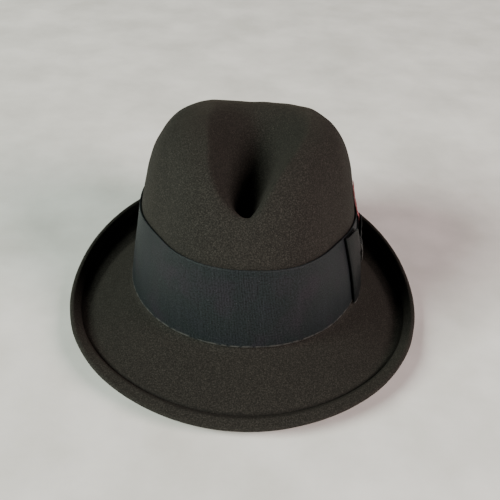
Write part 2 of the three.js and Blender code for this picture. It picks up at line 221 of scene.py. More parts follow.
def crown_point(angle, level):
    """The outside of the crown, with its two pinches and its crease."""
    p = blocked_crown(angle, level)
    away = (np.abs(np.degrees(angle)) - pinch_angle) / pinch_spread
    inward = pinch_depth * np.exp(-away * away) * from_table(pinch, "level", "share", level)
    across = np.maximum(np.hypot(p[..., 0], p[..., 1]), inward)
    keep = 1 - inward / np.maximum(across, 1e-9)
    x, y = p[..., 0] * keep, p[..., 1] * keep
    along = -y / half_length
    middle = half_width * from_table(crease, "along", "lean", along)
    left = from_table(crease, "along", "left", along)
    right = from_table(crease, "along", "right", along)
    half = half_width * np.where(x < middle, left, right)
    side = np.hypot((x - middle) / half, crease_floor)
    flank = (np.maximum(0, 1 - side) / (1 - crease_floor)) ** crease_flank
    sunk = crease_depth * from_table(crease, "along", "depth", along) * flank
    return np.stack([x, y, p[..., 2] - sunk], -1)


def wall_point(angle, level, offset):
    """A point off the outside of the crown's wall by an offset along its normal."""
    step = 0.002
    around = crown_point(angle + step, level) - crown_point(angle - step, level)
    up = crown_point(angle, level + step) - crown_point(angle, np.maximum(0, level - step))
    return crown_point(angle, level) + unit(np.cross(around, up)) * np.asarray(offset)[..., None]


def brim_points(angles, shares):
    """The brim's top along each angle, at shares of its width from the break."""
    steps = 240
    turned = np.abs(np.degrees(angles))
    width = brim_width * from_table(brim, "angle", "width", turned) - welt_round
    place = (np.arange(steps) + 0.5) / steps
    roll = from_table(brim, "angle", "roll", turned)
    turn = smooth(place[:, None], roll, brim_roll_end)
    root = from_table(brim, "angle", "root", turned)
    slope = np.radians(mix(root, from_table(brim, "angle", "edge", turned), turn))
    zero = np.zeros((1, len(angles)))
    reach = np.vstack([zero, np.cumsum(np.cos(slope) * width / steps, 0)])
    rise = np.vstack([zero, np.cumsum(np.sin(slope) * width / steps, 0)])
    place = np.clip(shares, 0, 1) * steps
    row = np.minimum(place.astype(int), steps - 1)
    t = place - row
    column = np.arange(len(angles))
    reach = mix(reach[row, column], reach[row + 1, column], t)
    rise = mix(rise[row, column], rise[row + 1, column], t)
    step = 0.001
    along = blocked_crown(angles + step, 0) - blocked_crown(angles - step, 0)
    away = unit(np.stack([along[:, 1], -along[:, 0], 0 * along[:, 0]], -1))
    points = crown_point(angles, np.zeros(len(angles))) + away * reach[..., None]
    return points + np.stack([0 * rise, 0 * rise, rise], -1), width


def on_table(points):
    """From the hat's own frame in millimetres to the frame at rest in metres."""
    lean = math.radians(rest_lean)
    x, y, z = points[..., 0], points[..., 1], points[..., 2]
    turned = [x, y * math.cos(lean) - z * math.sin(lean), y * math.sin(lean) + z * math.cos(lean)]
    return (np.stack(turned, -1) + rest_shift) / 1000


def faces_of_grid(rows, columns, round_rows, round_columns):
    """The quads of a grid of points, closed along its rows or columns where asked."""
    r = np.arange(rows if round_rows else rows - 1)[:, None]
    c = np.arange(columns if round_columns else columns - 1)[None, :]
    below, beside = (r + 1) % rows, (c + 1) % columns
    quads = [r * columns + c, below * columns + c, below * columns + beside, r * columns + beside]
    return np.stack([q.ravel() for q in np.broadcast_arrays(*quads)], -1)


def point_normals(points, faces):
    corners = points[faces]
    across = np.cross(corners[:, 2] - corners[:, 0], corners[:, 3] - corners[:, 1])
    normals = np.zeros_like(points)
    for corner in range(4):
        np.add.at(normals, faces[:, corner], across)
    return unit(normals)


def mesh_piece(name, points, faces, node, material, uv=None):
    """A smooth mesh from points in metres, on the hat's one body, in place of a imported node."""
    mesh = bpy.data.meshes.new(name)
    mesh.from_pydata(points.tolist(), [], [list(f) for f in faces])
    if uv is not None:
        layer = mesh.uv_layers.new(name="cloth_mm")
        layer.data.foreach_set("uv", np.asarray(uv, np.float32).ravel())
    mesh.validate()
    mesh.shade_smooth()
    piece = bpy.data.objects.new(name, mesh)
    bpy.context.scene.collection.objects.link(piece)
    piece.data.materials.append(material)
    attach(piece, "root")
    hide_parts(node)
    return piece


# Materials. Colours are sRGB hex values, and scales come from real sizes in millimetres
def colour(code):
    """An sRGB hex value as linear red, green, blue and alpha."""
    channels = [int(code[i : i + 2], 16) / 255 for i in (0, 2, 4)]
    return [c / 12.92 if c <= 0.04045 else ((c + 0.055) / 1.055) ** 2.4 for c in channels] + [1]


def add(material, kind, settings=None, links=None):
    """One node with its settings, and its inputs set to values or joined to other nodes' outputs.
    The setting stops gives the places and colours along a ramp."""
    tree = material.node_tree
    node = tree.nodes.new(kind)
    for name, value in (settings or {}).items():
        if name != "stops":
            setattr(node, name, value)
            continue
        elements = node.color_ramp.elements
        while len(elements) < len(value):
            elements.new(0.5)
        for element, (place, code) in zip(elements, value):
            element.position = place
            element.color = colour(code)
    for name, value in (links or {}).items():
        if isinstance(value, bpy.types.NodeSocket):
            tree.links.new(value, node.inputs[name])
        else:
            node.inputs[name].default_value = value
    return node


def new_material(name):
    material = bpy.data.materials.new(name)
    material.use_nodes = True
    material.node_tree.nodes.clear()
    return material


metres_to_mm = (1000, 1000, 1000)
blend = {"blend_type": "MIX", "data_type": "RGBA"}
darken = {"blend_type": "MULTIPLY", "data_type": "RGBA"}

# Felt: sizes in millimetres of its uneven dye, of a tuft of nap, of a fleck of lint and of its bumps
dye_patch = 45
nap_tuft = 0.85
felt_fleck = 0.8
felt_bump = 7


def fur_felt():
    """Fur felt, pounced and dyed black-brown: matt, with a fine short nap that breaks the light into
    grains, a little lint, a faint bloom at the rims, and painted shade along the welt's fold."""
    material = new_material("fur_felt")
    place = add(material, "ShaderNodeTexCoord").outputs["Object"]
    at = add(material, "ShaderNodeMapping", {"vector_type": "POINT"}, {
        "Vector": place, "Scale": metres_to_mm}).outputs["Vector"]
    mottle = add(material, "ShaderNodeTexNoise", None, {
        "Vector": at, "Scale": 1 / dye_patch, "Detail": 2.0, "Roughness": 0.55}).outputs["Fac"]
    nap = add(material, "ShaderNodeTexNoise", None, {
        "Vector": at, "Scale": 1 / nap_tuft, "Detail": 4.0, "Roughness": 0.75}).outputs["Fac"]
    fleck = add(material, "ShaderNodeTexNoise", None, {
        "Vector": at, "Scale": 1 / felt_fleck, "Detail": 2.0, "Roughness": 0.5,
        "Distortion": 0.4}).outputs["Fac"]
    bumps = add(material, "ShaderNodeTexNoise", None, {
        "Vector": at, "Scale": 1 / felt_bump, "Detail": 2.0, "Roughness": 0.55}).outputs["Fac"]
    base = add(material, "ShaderNodeValToRGB", {
        "stops": [(0.3, "1c1b19"), (0.7, "242320")]}, {"Fac": mottle}).outputs["Color"]
    grains = add(material, "ShaderNodeValToRGB", {
        "stops": [(0.32, "0a0a09"), (0.5, "1f1e1b"), (0.68, "44423d")]}, {"Fac": nap}).outputs["Color"]
    felt = add(material, "ShaderNodeMix", blend, {
        "Factor": 0.75, "A": base, "B": grains}).outputs["Result"]
    # Painted shade along the line where the brim's edge is turned over, and softly to both sides of it
    fold = add(material, "ShaderNodeAttribute", {"attribute_name": "from_fold"}).outputs["Fac"]
    fold_shade = add(material, "ShaderNodeValToRGB", {
        "stops": [(0.34, "ffffff"), (0.46, "a0a0a0"), (0.505, "6c6c6c"), (0.55, "b4b4b4"),
                  (0.62, "ffffff")]}, {"Fac": fold}).outputs["Color"]
    fold_shaded = add(material, "ShaderNodeMix", darken, {
        "Factor": 1.0, "A": felt, "B": fold_shade}).outputs["Result"]
    lint = add(material, "ShaderNodeValToRGB", {
        "stops": [(0.735, "000000"), (0.79, "ffffff")]}, {"Fac": fleck}).outputs["Color"]
    lit = add(material, "ShaderNodeMix", blend, {
        "Factor": lint, "A": fold_shaded, "B": colour("6a655b")}).outputs["Result"]
    wide = add(material, "ShaderNodeBump", None, {
        "Strength": 0.35, "Distance": 0.0009, "Height": bumps}).outputs["Normal"]
    fine = add(material, "ShaderNodeBump", None, {
        "Strength": 0.55, "Distance": 0.00035, "Height": nap, "Normal": wide}).outputs["Normal"]
    shader = add(material, "ShaderNodeBsdfPrincipled", None, {
        "Base Color": lit, "Roughness": 0.92, "Specular IOR Level": 0.2, "Sheen Weight": 0.1,
        "Sheen Roughness": 0.5, "Sheen Tint": colour("8f8676"), "Normal": fine})
    add(material, "ShaderNodeOutputMaterial", None, {"Surface": shader.outputs["BSDF"]})
    return material


felt_cloth = fur_felt()

# The felt body: rings of points from the tip to the edge of the brim, then back along the underside.
# The rings' numbers are how many there are on each stretch, and the crowding brings points together
spokes = 320
front_crowding = 0.35
tip_rings = 76
wall_rings = 34
fillet_rings = 5
brim_rings = 44
welt_rings = 16
welt_crowding = 1.4
ribbon_foot = ribbon_lift / crown_height
ribbon_top = (ribbon_lift + ribbon_width) / crown_height
wall_top = ribbon_top + 0.12
ring_power = 3.5
tip_edge = (1 - wall_top**ring_power) ** (1 / ring_power)
under_brim_step = 2
under_welt_step = 4

# The welt's section in millimetres: a soft lip that rises from a groove, and the fold at the edge
lip_rise = welt_thickness + 0.5
lip_run = 3.2
lip_power = 1.6
groove_rings = 12
groove_depth = 1.6
groove_reach = 1.5
fold_turns = (40, 65, 90, 115, 140)
fold_fullness = 0.98
fold_inset = 0.5
fold_span = 20.0

# Hand-shaped felt is never quite even: it waves over these lengths and by these heights
dent_length = 38
dent_height = 0.85
ripple_length = 14
ripple_height = 0.42
ripple_place = Vector((7, 3, 1))
brim_dent_height = 0.3
dents_start = ribbon_lift + ribbon_width + 4
dents_full = ribbon_lift + ribbon_width + 24
brim_dents_start = -2
brim_dents_full = 6


def spoke_angles(count):
    turn = 2 * math.pi * np.arange(count) / count - math.pi
    return turn - front_crowding * np.sin(turn)


def felt_sheet(angles):
    """The sheet's top as rings of points, the row where the welt starts, and how far each of the
    welt's rings lies from there."""
    reach = tip_edge * np.arange(1, tip_rings + 1) / tip_rings
    flat_reach = (1 - flat_level**ring_power) ** (1 / ring_power)
    on_flat = 1 - (1 - flat_level) * (reach / flat_reach) ** 2
    levels = np.where(reach < flat_reach, on_flat, (1 - reach**ring_power) ** (1 / ring_power))
    wall = np.linspace(wall_top, break_fillet / crown_height, wall_rings + 1)[1:]
    crown = crown_point(angles[None, :], np.concatenate([levels, wall])[:, None])
    _, width = brim_points(angles, np.zeros((1, len(angles))))
    first = break_fillet / width
    near, _ = brim_points(angles, first[None, :])
    corner = crown_point(angles, np.zeros(len(angles)))
    t = np.linspace(0, 1, fillet_rings + 2)[1:-1, None, None]
    fillet = (1 - t) ** 2 * crown[-1] + 2 * t * (1 - t) * corner + t * t * near[0]
    welt_start = (width + welt_round - welt_width) / width
    run = np.linspace(0, 1, brim_rings)[:, None]
    brim_rows, _ = brim_points(angles, mix(first, welt_start, run))
    lip = np.linspace(0, 1, welt_rings + 1)[1:, None] ** welt_crowding
    welt_rows, _ = brim_points(angles, mix(welt_start, 1.0, lip))
    rings = np.concatenate([crown, fillet, brim_rows, welt_rows])
    return rings, len(rings) - welt_rings, lip[:, 0] * (welt_width - welt_round)


def soft_dents(points):
    """The points with the small waves of hand-shaped felt: outward on the crown, upward on the brim."""
    flat = points.reshape(-1, 3)
    wave = np.array([noise.noise(Vector(p) / dent_length) for p in flat])
    ripple = np.array([noise.noise(Vector(p) / ripple_length + ripple_place) for p in flat])
    high = smooth(flat[:, 2], dents_start, dents_full)
    low = smooth(-flat[:, 2], brim_dents_start, brim_dents_full)
    amount = dent_height * wave * high + ripple_height * ripple * high + brim_dent_height * wave * low
    outward = unit(np.stack([flat[:, 0] * high, flat[:, 1] * high, 0 * high + half_width], -1))
    return (flat + outward * amount[:, None]).reshape(points.shape)


def felt_body():
    angles = spoke_angles(spokes)
    sheet, welt_row, lip = felt_sheet(angles)
    rows = len(sheet)
    quads = faces_of_grid(rows, spokes, False, True)
    normals = point_normals(sheet.reshape(-1, 3), quads).reshape(rows, spokes, 3)
    middle = rows // 2
    inside = [0, 0, crown_height / 3]
    normals *= np.sign((normals[middle] * (sheet[middle] - inside)).sum())
    # The top, with the groove, the lip and the start of the fold
    rim_half = (felt_thickness + welt_thickness) / 2
    to_edge = np.maximum(welt_width - welt_round - lip, 0)
    rise = lip_rise * np.sqrt(1 - np.clip(1 - lip / lip_run, 0, 1) ** lip_power)
    fall = 1 - np.sqrt(1 - np.clip(1 - (to_edge + welt_round) / rim_half, 0, 1) ** 2)
    rise = rise - fall * rim_half
    top = sheet.copy()
    top[welt_row:] += normals[welt_row:] * rise[:, None, None]
    grooved = slice(welt_row - groove_rings, welt_row)
    inner = np.linalg.norm(sheet[grooved] - sheet[welt_row], axis=-1)
    groove = groove_depth * np.exp(-((inner / groove_reach) ** 2))
    top[grooved] -= normals[grooved] * groove[..., None]
    # The fold at the edge, and the underside back to the tip
    out = unit(sheet[-1] - sheet[-2])
    centre = sheet[-1] + normals[-1] * (welt_thickness - felt_thickness) / 2
    turns_out = [welt_round * math.sin(math.radians(a)) for a in fold_turns]
    turns_up = [rim_half * fold_fullness * math.cos(math.radians(a)) for a in fold_turns]
    fold = [centre + out * across + normals[-1] * up for across, up in zip(turns_out, turns_up)]
    under = np.r_[0:welt_row:under_brim_step, welt_row:rows:under_welt_step, rows - 1][::-1]
    inset = np.where(under == rows - 1, fall[-1] * rim_half * fold_inset, 0)
    below = sheet[under] - normals[under] * (felt_thickness - inset)[:, None, None]
    rings = soft_dents(np.concatenate([top, fold, below]))
    # How far each point lies from the line where the welt starts, as a share of the span round it
    # The felt's material darkens its colour by this share, as painted shade along the fold
    from_fold = np.ones((len(rings), spokes))
    from_fold[:welt_row] = 0
    from_fold[grooved] = 0.5 - inner / fold_span
    from_fold[welt_row:rows] = 0.5 + lip[:, None] / fold_span
    # Laid down, with what would sink into the table pressed flat on it
    placed = on_table(rings)
    placed[:rows, :, 2] = np.maximum(placed[:rows, :, 2], felt_thickness / 1000)
    placed[rows:, :, 2] = np.maximum(placed[rows:, :, 2], 0)
    points = placed.reshape(-1, 3)
    tip = crown_point(0.0, 1.0)
    tips = on_table(soft_dents(np.array([tip, tip - [0, 0, felt_thickness]])))
    faces = faces_of_grid(len(rings), spokes, False, True).tolist()
    first, last = len(points), len(points) + 1
    start = (len(rings) - 1) * spokes
    for i in range(spokes):
        j = (i + 1) % spokes
        faces.append([first, i, j])
        faces.append([last, start + j, start + i])
    points = np.concatenate([points, tips])
    piece = mesh_piece("felt_crown_and_brim", points, faces, "felt_body", felt_cloth)
    layer = piece.data.attributes.new("from_fold", "FLOAT", "POINT")
    layer.data.foreach_set("value", np.append(from_fold.ravel(), [0, 0]).astype(np.float32))


felt_body()

# Grosgrain: sizes in millimetres, and the pale edge's places as shares of the ribbon's width. Real ribs
# are about 0.7 mm apart, and are drawn wider so that they show. The wave's scale is for that pitch
rib_pitch = 1.0
rib_scale = math.pi / 10 / rib_pitch
streak_width = 2.6
streak_stretch = 0.06
cloud_size = 26
slub_size = 1.1
ribbon_fleck = 0.9
wear_length = 4
pale_edge = 0.016
pale_edge_end = 0.026


def grosgrain(name, clouds_dye_and_shade, thread_dye_and_shade):
    """Grosgrain woven of silk over cotton: close ribs across the ribbon, a matt and slightly uneven
    face, and a pale, worn edge."""
    material = new_material(name)
    cloth = add(material, "ShaderNodeTexCoord").outputs["UV"]
    across = add(material, "ShaderNodeSeparateXYZ", None, {"Vector": cloth}).outputs["Y"]
    ribs = add(material, "ShaderNodeTexWave", {
        "wave_type": "BANDS", "bands_direction": "X", "wave_profile": "SIN"}, {
        "Vector": cloth, "Scale": rib_scale, "Distortion": 0.25, "Detail": 2.0,
        "Detail Scale": 0.5}).outputs["Fac"]
    stretched = add(material, "ShaderNodeMapping", None, {
        "Vector": cloth, "Scale": (1.0, streak_stretch, 1.0)}).outputs["Vector"]
    streaks = add(material, "ShaderNodeTexNoise", None, {
        "Vector": stretched, "Scale": 1 / streak_width, "Detail": 3.0, "Roughness": 0.55}).outputs["Fac"]
    clouds = add(material, "ShaderNodeTexNoise", None, {
        "Vector": cloth, "Scale": 1 / cloud_size, "Detail": 2.0, "Roughness": 0.55}).outputs["Fac"]
    slub = add(material, "ShaderNodeTexNoise", None, {
        "Vector": cloth, "Scale": 1 / slub_size, "Detail": 2.0, "Roughness": 0.55}).outputs["Fac"]
    fleck = add(material, "ShaderNodeTexNoise", None, {
        "Vector": cloth, "Scale": 1 / ribbon_fleck, "Detail": 2.0, "Roughness": 0.5,
        "Distortion": 0.4}).outputs["Fac"]
    wear = add(material, "ShaderNodeTexNoise", None, {
        "Vector": cloth, "Scale": 1 / wear_length, "Detail": 3.0, "Roughness": 0.55}).outputs["Fac"]
    base = add(material, "ShaderNodeValToRGB", {
        "stops": list(zip((0.3, 0.5, 0.7), clouds_dye_and_shade))}, {"Fac": clouds}).outputs["Color"]
    threads = add(material, "ShaderNodeValToRGB", {
        "stops": list(zip((0.3, 0.55, 0.75), thread_dye_and_shade))}, {"Fac": streaks}).outputs["Color"]
    toned = add(material, "ShaderNodeMix", blend, {
        "Factor": 0.25, "A": base, "B": threads}).outputs["Result"]
    shade = add(material, "ShaderNodeValToRGB", {
        "stops": [(0.0, "848484"), (0.6, "ffffff")]}, {"Fac": ribs}).outputs["Color"]
    ribbed = add(material, "ShaderNodeMix", darken, {
        "Factor": 0.7, "A": toned, "B": shade}).outputs["Result"]
    uneven = add(material, "ShaderNodeValToRGB", {
        "stops": [(0.36, "8c8c8c"), (0.6, "ffffff")]}, {"Fac": slub}).outputs["Color"]
    woven = add(material, "ShaderNodeMix", darken, {
        "Factor": 0.8, "A": ribbed, "B": uneven}).outputs["Result"]
    lint = add(material, "ShaderNodeValToRGB", {
        "stops": [(0.7, "000000"), (0.78, "ffffff")]}, {"Fac": fleck}).outputs["Color"]
    dusted = add(material, "ShaderNodeMix", blend, {
        "Factor": lint, "A": woven, "B": colour("56595c")}).outputs["Result"]
    share = add(material, "ShaderNodeMath", {"operation": "DIVIDE"}, {
        0: across, 1: ribbon_width}).outputs["Value"]
    edge = add(material, "ShaderNodeValToRGB", {
        "stops": [(0.0, "ffffff"), (pale_edge, "ffffff"), (pale_edge_end, "000000"),
                  (1.0, "000000")]}, {"Fac": share}).outputs["Color"]
    worn = add(material, "ShaderNodeValToRGB", {
        "stops": [(0.38, "303030"), (0.55, "ffffff")]}, {"Fac": wear}).outputs["Color"]
    shown = add(material, "ShaderNodeMath", {"operation": "MULTIPLY"}, {
        0: edge, 1: worn}).outputs["Value"]
    edged = add(material, "ShaderNodeMix", blend, {
        "Factor": shown, "A": dusted, "B": colour("4b4c4a")}).outputs["Result"]
    raised = add(material, "ShaderNodeBump", None, {
        "Strength": 0.5, "Distance": 0.0002, "Height": ribs}).outputs["Normal"]
    fine = add(material, "ShaderNodeBump", None, {
        "Strength": 0.3, "Distance": 0.00015, "Height": slub, "Normal": raised}).outputs["Normal"]
    shader = add(material, "ShaderNodeBsdfPrincipled", None, {
        "Base Color": edged, "Roughness": 0.5, "Specular IOR Level": 0.14, "Normal": fine})
    add(material, "ShaderNodeOutputMaterial", None, {"Surface": shader.outputs["BSDF"]})
    return material


ribbon_cloth = grosgrain(
    "grosgrain_ribbon", ("252a2f", "232b2c", "2d2b32"), ("1c2025", "292d32", "363b41"))
# The bow is woven of the same ribbon; its copy has darker tones, which are painted shade
bow_cloth_shaded = grosgrain(
    "grosgrain_bow_shaded", ("14171a", "121919", "19171b"), ("101315", "171b1e", "202428"))


def corner_pairs(by_row, by_column):
    """For each quad of a grid, its row's and its column's value at each of its four corners."""
    r, c = np.arange(len(by_row) - 1)[:, None], np.arange(len(by_column) - 1)[None, :]
    corners = [(r, c), (r + 1, c), (r + 1, c + 1), (r, c + 1)]
    pairs = [np.stack(np.broadcast_arrays(by_row[i], by_column[j]), -1) for i, j in corners]
    return np.stack([pair.reshape(-1, 2) for pair in pairs], 1)


def half_turn(count):
    """The sine and cosine of a few even steps round half a turn, for the round of an edge."""
    turn = np.linspace(0, math.pi, count + 2)[1:-1]
    return np.sin(turn), np.cos(turn)


# The ribbon band: its points, its woven bead by the edges, and how loosely it lies. Heights, depths
# and lengths are in millimetres, and waves are counted in units of the noise round the crown
ribbon_inside = seat_gap
ribbon_outside = seat_gap + ribbon_thickness
band_columns = 560
band_face_rows = 40
band_back_rows = 8
band_edge_rows = 4
band_edge_share = 0.6
bead_height = 0.22
bead_place = 0.5
bead_spread = 0.35
face_sink = 0.12
edge_sink = 0.05
looseness = 0.25
least_loose = 0.6
loose_length = 22
loose_waves = 3
edge_waves = 5
edge_wave_height = 0.35
edge_wave_slice = 4
edge_wave_start = 0.3


def ribbon_band():
    angles = spoke_angles(band_columns)
    half = ribbon_thickness / 2
    edge = half * band_edge_share
    out, side = half_turn(band_edge_rows)
    face = np.linspace(edge, ribbon_width - edge, band_face_rows)
    back = np.linspace(ribbon_width - edge, edge, band_back_rows)
    from_edge = np.minimum(face, ribbon_width - face)
    bead = bead_height * np.exp(-((from_edge - bead_place) / bead_spread) ** 2)
    round_half = half - edge_sink
    heights = np.concatenate([face, ribbon_width - edge + edge * out, back, edge * (1 - out)])
    offsets = np.concatenate([
        ribbon_outside + bead - face_sink, ribbon_inside + half + round_half * side,
        0 * back + ribbon_inside, ribbon_inside + half - round_half * side])
    ring = [(math.sin(a), math.cos(a)) for a in angles]
    loose = [[noise.noise(Vector((loose_waves * x, loose_waves * y, h / loose_length)))
              for x, y in ring] for h in heights]
    rim = [noise.noise(Vector((edge_waves * x, edge_waves * y, edge_wave_slice))) for x, y in ring]
    near_edge = smooth(np.abs(heights / ribbon_width - 0.5), edge_wave_start, 0.5)[:, None]
    level = (ribbon_lift + heights)[:, None] / crown_height
    level = level + edge_wave_height * np.array(rim) * near_edge / crown_height
    outer = (offsets > ribbon_inside + half)[:, None]
    slack = np.where(outer, looseness * (np.array(loose) + least_loose), 0)
    points = wall_point(angles[None, :], level, offsets[:, None] + slack)
    closed = np.append(angles, angles[0] + 2 * math.pi)
    middle = wall_point(closed, (ribbon_foot + ribbon_top) / 2, 0.0)
    u = np.concatenate([[0], np.cumsum(np.linalg.norm(np.diff(middle, axis=0), axis=-1))])
    v = np.append(heights, heights[0])
    faces = faces_of_grid(len(heights), band_columns, True, True)[:, ::-1]
    uv = corner_pairs(v, u)[:, ::-1, ::-1]
    mesh_piece("ribbon", on_table(points).reshape(-1, 3), faces, "ribbon_band",
               ribbon_cloth, uv)


ribbon_band()

# The bow. Places on the ribbon are a distance round it from the knot to the back, a height above the
# break and an offset off its face
bow_middle = ribbon_lift + ribbon_width / 2 - bow_drop
back_layer = seat_gap + strip_thickness / 2
front_layer = back_layer + strip_thickness + seat_gap
front_of_loops = front_layer + strip_thickness / 2
bow_stations = 110
bow_face_columns = 33
bow_back_columns = 17
bow_pleat_depth = 0.5
bow_pleats = 4.5
bow_pleat_end = 0.55
knot_stations = 61
knot_face_columns = 25
knot_back_columns = 9
knot_pleat_depth = 0.28
knot_pleats = 3.5
strip_edge_columns = 3

# The angle at each distance round the ribbon's middle from the bow
walk_reach = 1.2
walk_points = 2401
turns = math.radians(bow_angle) + np.linspace(-walk_reach, walk_reach, walk_points)
paces = np.linalg.norm(np.diff(crown_point(turns, (ribbon_foot + ribbon_top) / 2), axis=0), axis=-1)
walk = np.concatenate([[0], np.cumsum(paces)])
walk -= np.interp(math.radians(bow_angle), turns, walk)


def ribbon_point(distance, height, offset):
    distance, height, offset = np.broadcast_arrays(distance, height, offset)
    angle = np.interp(distance, walk, turns)
    return wall_point(angle, height / crown_height, ribbon_outside + offset)


def slanted(height):
    return -bow_lean * (height - bow_middle) / bow_front_height


def strip_section(face_columns, back_columns):
    """Once round a strip's section: each point's share of the half width, of the half thickness past
    that, and its side, which is 1 on the face and -1 on the back."""
    out, side = half_turn(strip_edge_columns)
    share = np.concatenate([
        np.linspace(-1, 1, face_columns), 1 + 0 * side, np.linspace(1, -1, back_columns), -1 + 0 * side])
    rim = np.concatenate([np.zeros(face_columns), out, np.zeros(back_columns), -out])
    face = np.concatenate([np.ones(face_columns), side, -np.ones(back_columns), -side])
    return share[None, :], rim[None, :], face[None, :]


def strip_piece(name, points, run, share, node):
    """A closed strip of the bow's ribbon from its rows of points, with the distance run at each row
    and each point's share of the half width."""
    rows, columns = points.shape[:2]
    faces = faces_of_grid(rows, columns, False, True).tolist()
    faces.append(list(range(columns)))
    faces.append(list(range((rows - 1) * columns, rows * columns))[::-1])
    v = np.append((share[0] + 1) / 2 * ribbon_width, 0)
    uv = np.concatenate([corner_pairs(run, v).reshape(-1, 2), np.zeros((2 * columns, 2))])
    mesh_piece(name, on_table(points).reshape(-1, 3), faces, node, bow_cloth_shaded, uv)


def distance_run(across, out):
    """The distance run at each station of a path, from both its coordinates."""
    return np.concatenate([[0], np.cumsum(np.hypot(np.diff(across), np.diff(out)))])


def bow_piece(name, length, tall, full, side, node):
    """Half of the bow: a loop of ribbon that leaves the knot against the band, turns back over itself
    and comes in to the waist, where it gathers into pleats."""
    start = knot_width / 2 + strip_thickness + seat_gap
    layer = np.where(bow_loop["front"] > 0, front_layer, back_layer)
    reach = mix(start, length, bow_loop["reach"])
    rise = mix(layer, full - strip_thickness / 2, bow_loop["fullness"])
    half = mix(bow_waist, tall, bow_loop["height"]) / 2
    reach = np.concatenate([[seat_gap / 2], reach, [seat_gap / 2]])
    rise = np.concatenate([[back_layer], rise, [front_layer]])
    half = np.concatenate([[bow_waist / 2], half, [bow_waist / 2]])
    step = distance_run(reach, 2 * rise)
    rows = {"step": step, "reach": reach, "rise": rise, "half": half}
    fine = np.linspace(0, step[-1], bow_stations)
    reach, rise, half = (from_table(rows, "step", key, fine) for key in ("reach", "rise", "half"))
    waist = 1 - smooth(reach, start, mix(start, length, bow_pleat_end))
    pleat = bow_pleat_depth * waist * (fine > step[-1] / 2) * smooth(reach, 0, start)
    distance = side * reach
    tangent = unit(np.stack([np.gradient(distance), np.gradient(rise)], -1))
    share, rim, face = strip_section(bow_face_columns, bow_back_columns)
    thick = face * strip_thickness / 2
    height = bow_middle + share * (half[:, None] - strip_thickness / 2) + rim * strip_thickness / 2
    folds = pleat[:, None] * (0.5 + 0.5 * np.cos(share * bow_pleats * math.pi))
    at = distance[:, None] - thick * tangent[:, 1:]
    off = rise[:, None] + thick * tangent[:, :1] + folds
    points = ribbon_point(at + slanted(height), height, off)
    strip_piece(name, points, distance_run(distance, rise), share, node)


bow_piece("bow_front", bow_front_length, bow_front_height, bow_front_fullness, -1, "bow_front_loop")
bow_piece("bow_rear", bow_rear_length, bow_rear_height, bow_rear_fullness, 1, "bow_rear_loop")


def bow_knot():
    """The short strap over the waist, drawn tight so that it creases lengthwise."""
    inner = front_of_loops + seat_gap + knot_thickness / 2
    half = bow_waist / 2 + seat_gap + (knot_thickness + knot_round) / 2
    line = table(
        "height offset",
        (half, seat_gap),
        (half, inner - knot_round),
        (half - knot_round, inner),
        (0, inner + knot_round / 4),
        (knot_round - half, inner),
        (-half, inner - knot_round),
        (-half, seat_gap),
    )
    step = np.arange(float(len(line["height"])))
    rows = {"step": step, **line}
    fine = np.linspace(0, step[-1], knot_stations)
    height, offset = (from_table(rows, "step", key, fine) for key in ("height", "offset"))
    tangent = unit(np.stack([np.gradient(height), np.gradient(offset)], -1))
    share, rim, face = strip_section(knot_face_columns, knot_back_columns)
    crease_in = knot_pleat_depth * (face > 0) * (0.5 - 0.5 * np.cos(share * knot_pleats * math.pi))
    thick = face * knot_thickness / 2 - crease_in
    at = share * (knot_width - knot_thickness) / 2 + rim * knot_thickness / 2
    high = bow_middle + height[:, None] + thick * tangent[:, 1:]
    off = offset[:, None] - thick * tangent[:, :1]
    points = ribbon_point(at + slanted(high), high, off)
    strip_piece("bow_knot_strap", points, distance_run(height, offset), share, "bow_knot")


bow_knot()


# Hackle: the size in millimetres of the patches that take up the dye unevenly
hackle_patch = 6


def hackle():
    """Dyed hackle: a fine shaft with soft, slightly translucent barbs, crimson and uneven."""
    material = new_material("dyed_hackle")
    place = add(material, "ShaderNodeTexCoord").outputs["Object"]
    at = add(material, "ShaderNodeMapping", {"vector_type": "POINT"}, {
        "Vector": place, "Scale": metres_to_mm}).outputs["Vector"]
    mottle = add(material, "ShaderNodeTexNoise", None, {
        "Vector": at, "Scale": 1 / hackle_patch, "Detail": 3.0, "Roughness": 0.55}).outputs["Fac"]
    dye = add(material, "ShaderNodeValToRGB", {
        "stops": [(0.3, "4f151b"), (0.55, "7c222a"), (0.75, "a3444d")]}, {"Fac": mottle}).outputs["Color"]
    shader = add(material, "ShaderNodeBsdfPrincipled", None, {
        "Base Color": dye, "Roughness": 0.6, "Sheen Weight": 0.3, "Sheen Roughness": 0.4,
        "Subsurface Weight": 0.05, "Subsurface Radius": (0.002, 0.001, 0.001)})
    add(material, "ShaderNodeOutputMaterial", None, {"Surface": shader.outputs["BSDF"]})
    return material


feather_dye = hackle()

# The feather: a shaft with barbs to both sides. Places along it are shares of its length, radii and
# lifts are in millimetres, and the barbs part into locks
shaft_end = 0.97
shaft_points = 50
shaft_radii = (0.38, 0.1)
shaft_sides = 8
barbs = 190
barb_points = 6
barb_radii = (0.17, 0.05)
barb_sides = 3
first_barb = 0.06
barbs_span = 0.92
barb_ahead = 0.06
locks = 9
lock_depth = 0.2
ragged = 0.08
barb_climb = 0.13
climb_change = 0.03
climb_power = 1.2
highest = 1.05
barb_lift = 0.16
strand_turn = (0.3, 0.2, 0.9)
draws_seed = 11


def vane_point(rise, side, proud):
    """A point of the feather, which starts inside the rear loop, lies on the ribbon and bends onto the
    crown above it."""
    ribbon_edge = ribbon_lift + ribbon_width
    in_loop = back_layer + strip_thickness / 2 + seat_gap + feather_thickness / 2
    over_ribbon = seat_gap + feather_thickness / 2
    height = feather_foot + feather_length * rise
    place = feather_place - feather_lean * rise + side
    loop_top = bow_middle + bow_rear_height / 2
    offset = mix(in_loop, over_ribbon, smooth(height, loop_top, ribbon_edge))
    offset = offset - ribbon_outside * smooth(height, ribbon_edge, ribbon_edge + feather_bend)
    return ribbon_point(place, height, offset + proud)


